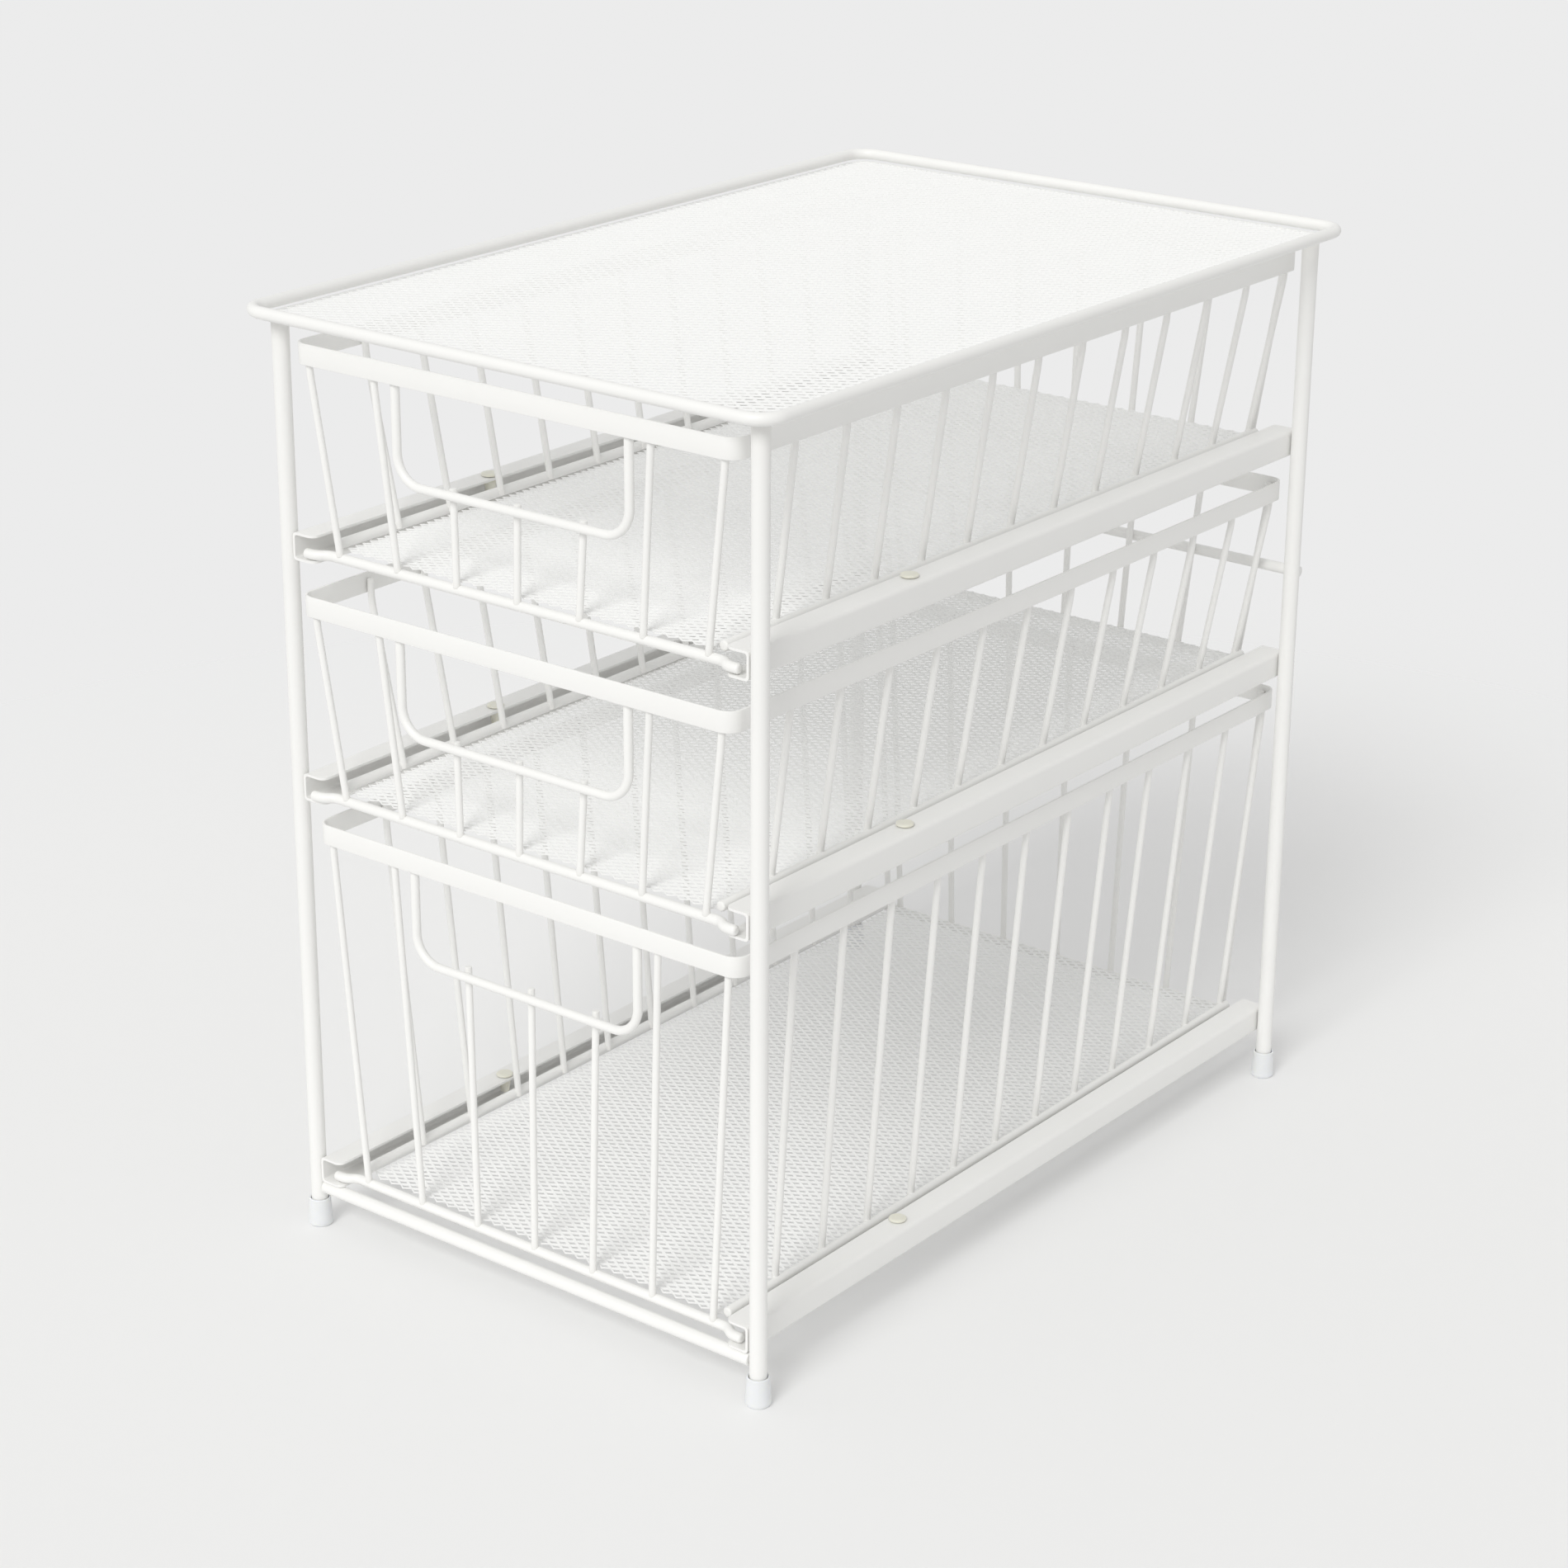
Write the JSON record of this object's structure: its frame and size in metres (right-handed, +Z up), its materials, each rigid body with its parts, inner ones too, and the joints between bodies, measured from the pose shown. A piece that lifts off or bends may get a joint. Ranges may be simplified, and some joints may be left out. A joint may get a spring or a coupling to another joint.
{
  "type": "wire drawer organizer",
  "caption": "Free-standing powder-coated wire frame with a mesh top shelf and stacked wire basket drawers that slide out on channel rails.",
  "frame": {"origin": "on the floor under the middle of the frame", "axes": "+Z up, -Y toward the front where the drawers come out, +X to the right as seen from the front"},
  "size_m": [0.263, 0.401, 0.4],
  "materials": {
    "frame_powder_coat": "satin white powder coat",
    "drawer_powder_coat": "satin white powder coat",
    "mesh_powder_coat": "satin white powder coat on expanded mesh",
    "foot_plastic": "cloudy soft plastic",
    "bumper_plastic": "cloudy soft plastic"
  },
  "bodies": {
    "frame": {"top_frame_wire": "frame_powder_coat", "top_mesh_panel": "mesh_powder_coat", "leg_front_left": "frame_powder_coat", "leg_front_right": "frame_powder_coat", "leg_rear_left": "frame_powder_coat", "leg_rear_right": "frame_powder_coat", "foot_front_left": "foot_plastic", "foot_front_right": "foot_plastic", "foot_rear_left": "foot_plastic", "foot_rear_right": "foot_plastic", "top_rail_left": "frame_powder_coat", "top_rail_right": "frame_powder_coat", "middle_rail_left": "frame_powder_coat", "middle_rail_right": "frame_powder_coat", "bottom_rail_left": "frame_powder_coat", "bottom_rail_right": "frame_powder_coat", "top_bumper_left": "bumper_plastic", "top_bumper_right": "bumper_plastic", "middle_bumper_left": "bumper_plastic", "middle_bumper_right": "bumper_plastic", "bottom_bumper_left": "bumper_plastic", "bottom_bumper_right": "bumper_plastic", "front_cross_wire": "frame_powder_coat", "rear_cross_wire": "frame_powder_coat"},
    "top_drawer": {"top_drawer_rim_band": "drawer_powder_coat", "top_drawer_handle": "drawer_powder_coat", "top_drawer_front_wires": "drawer_powder_coat", "top_drawer_rear_wires": "drawer_powder_coat", "top_drawer_left_wires": "drawer_powder_coat", "top_drawer_right_wires": "drawer_powder_coat", "top_drawer_floor_mesh": "mesh_powder_coat"},
    "middle_drawer": {"middle_drawer_rim_band": "drawer_powder_coat", "middle_drawer_handle": "drawer_powder_coat", "middle_drawer_front_wires": "drawer_powder_coat", "middle_drawer_rear_wires": "drawer_powder_coat", "middle_drawer_left_wires": "drawer_powder_coat", "middle_drawer_right_wires": "drawer_powder_coat", "middle_drawer_floor_mesh": "mesh_powder_coat"},
    "bottom_drawer": {"bottom_drawer_rim_band": "drawer_powder_coat", "bottom_drawer_handle": "drawer_powder_coat", "bottom_drawer_front_wires": "drawer_powder_coat", "bottom_drawer_rear_wires": "drawer_powder_coat", "bottom_drawer_left_wires": "drawer_powder_coat", "bottom_drawer_right_wires": "drawer_powder_coat", "bottom_drawer_floor_mesh": "mesh_powder_coat"}
  },
  "joints": [
    {"name": "top_drawer_slide", "type": "slide", "parent": "frame", "child": "top_drawer", "axis": [0, -1, 0], "range_m": [0, 0.268]},
    {"name": "middle_drawer_slide", "type": "slide", "parent": "frame", "child": "middle_drawer", "axis": [0, -1, 0], "range_m": [0, 0.266]},
    {"name": "bottom_drawer_slide", "type": "slide", "parent": "frame", "child": "bottom_drawer", "axis": [0, -1, 0], "range_m": [0, 0.27]}
  ]
}
